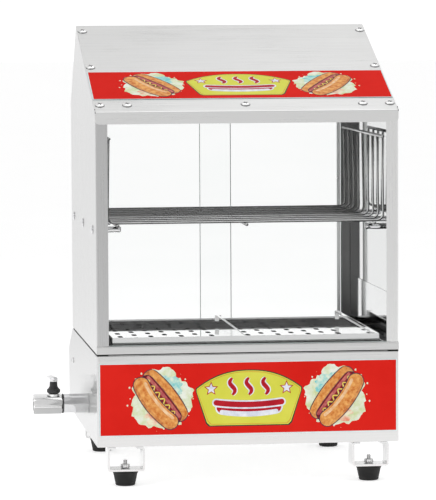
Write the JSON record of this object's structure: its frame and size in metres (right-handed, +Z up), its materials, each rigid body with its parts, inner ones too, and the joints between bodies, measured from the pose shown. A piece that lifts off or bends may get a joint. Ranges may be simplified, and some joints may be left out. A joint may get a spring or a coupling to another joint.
{
  "type": "hot dog steamer",
  "caption": "Countertop hot dog steamer: glass-fronted steel cabinet with a wire bun rack, lift-out steam trays, water tank, drain valve and sliding rear doors.",
  "frame": {"origin": "on the table, below the middle of the whole object's box", "axes": "+Z up, the front window faces -Y, the drain valve points along -X, the controls are on the rear at +Y"},
  "size_m": [0.4628, 0.4706, 0.601],
  "materials": {
    "brushed_steel": "fine brushed stainless",
    "bracket_steel": "satin stainless, folded plate",
    "polished_steel": "bright stainless",
    "chrome": "nickel plated, bright",
    "brass": "plain",
    "red_film": "printed adhesive film, satin",
    "clear_glass": "clear, polished edges",
    "black_rubber": "matte",
    "black_plastic": "fine texture",
    "amber_lens": "translucent lens"
  },
  "bodies": {
    "cabinet": {"base_wrap": "brushed_steel", "base_bottom": "brushed_steel", "base_rear_panel": "brushed_steel", "control_panel": "brushed_steel", "left_side_panel": "brushed_steel", "right_side_panel": "brushed_steel", "bottom_rail": "brushed_steel", "hood_top": "brushed_steel", "hood_back": "brushed_steel", "drain_pipe": "brushed_steel", "valve_body": "brushed_steel", "foot_bracket_front_left": "bracket_steel", "foot_bracket_front_right": "bracket_steel", "foot_bracket_rear_left": "bracket_steel", "foot_bracket_rear_right": "bracket_steel", "water_tank": "polished_steel", "heating_element": "polished_steel", "tray_frame": "polished_steel", "left_lining": "polished_steel", "right_lining": "polished_steel", "lower_door_track": "polished_steel", "upper_door_track": "polished_steel", "shelf_peg_left_1": "polished_steel", "shelf_peg_left_2": "polished_steel", "shelf_peg_left_3": "polished_steel", "shelf_peg_right_1": "polished_steel", "shelf_peg_right_2": "polished_steel", "shelf_peg_right_3": "polished_steel", "foot_stud_front_left": "polished_steel", "foot_stud_front_right": "polished_steel", "foot_stud_rear_left": "polished_steel", "foot_stud_rear_right": "polished_steel", "element_flange": "brass", "front_decal": "red_film", "top_decal": "red_film", "front_glass": "clear_glass", "seam_gasket": "black_rubber", "rubber_foot_front_left": "black_rubber", "rubber_foot_front_right": "black_rubber", "rubber_foot_rear_left": "black_rubber", "rubber_foot_rear_right": "black_rubber", "drain_lock_ring": "black_plastic", "valve_bonnet": "black_plastic", "thermostat_body": "black_plastic", "power_switch_bezel": "black_plastic", "cable_gland": "black_plastic", "heating_lamp": "amber_lens"},
    "left_door": {"left_door": "clear_glass", "left_door_pull": "polished_steel"},
    "right_door": {"right_door": "clear_glass", "right_door_pull": "polished_steel"},
    "valve_handle": {"valve_ball": "chrome", "valve_lever": "chrome"},
    "thermostat_dial": {"thermostat_knob": "black_plastic", "thermostat_spindle": "polished_steel"},
    "power_rocker": {"power_rocker": "black_plastic"},
    "left_tray": {"left_tray": "polished_steel"},
    "right_tray": {"right_tray": "polished_steel"},
    "bun_shelf": {"bun_shelf": "polished_steel"}
  },
  "joints": [
    {"name": "left_door_slide", "type": "slide", "parent": "cabinet", "child": "left_door", "axis": [1, 0, 0], "range_m": [0, 0.155]},
    {"name": "right_door_slide", "type": "slide", "parent": "cabinet", "child": "right_door", "axis": [1, 0, 0], "range_m": [-0.155, 0]},
    {"name": "drain_valve_turn", "type": "hinge", "parent": "cabinet", "child": "valve_handle", "pos_m": [-0.2024, 0.11235, 0.1], "axis": [0, 0, 1], "range_deg": [0, 90]},
    {"name": "thermostat_turn", "type": "hinge", "parent": "cabinet", "child": "thermostat_dial", "pos_m": [-0.0764, 0.18735, 0.15545], "axis": [0, -0.4355, -0.9002], "range_deg": [0, 270]},
    {"name": "power_switch_tip", "type": "hinge", "parent": "cabinet", "child": "power_rocker", "pos_m": [0.0886, 0.18648, 0.15365], "axis": [1, 0, 0], "range_deg": [0, 18]},
    {"name": "left_tray_lift", "type": "slide", "parent": "cabinet", "child": "left_tray", "axis": [0, 0, 1], "range_m": [0, 0.12]},
    {"name": "right_tray_lift", "type": "slide", "parent": "cabinet", "child": "right_tray", "axis": [0, 0, 1], "range_m": [0, 0.12]},
    {"name": "bun_shelf_lift", "type": "slide", "parent": "cabinet", "child": "bun_shelf", "axis": [0, 0, 1], "range_m": [0, 0.03]}
  ]
}
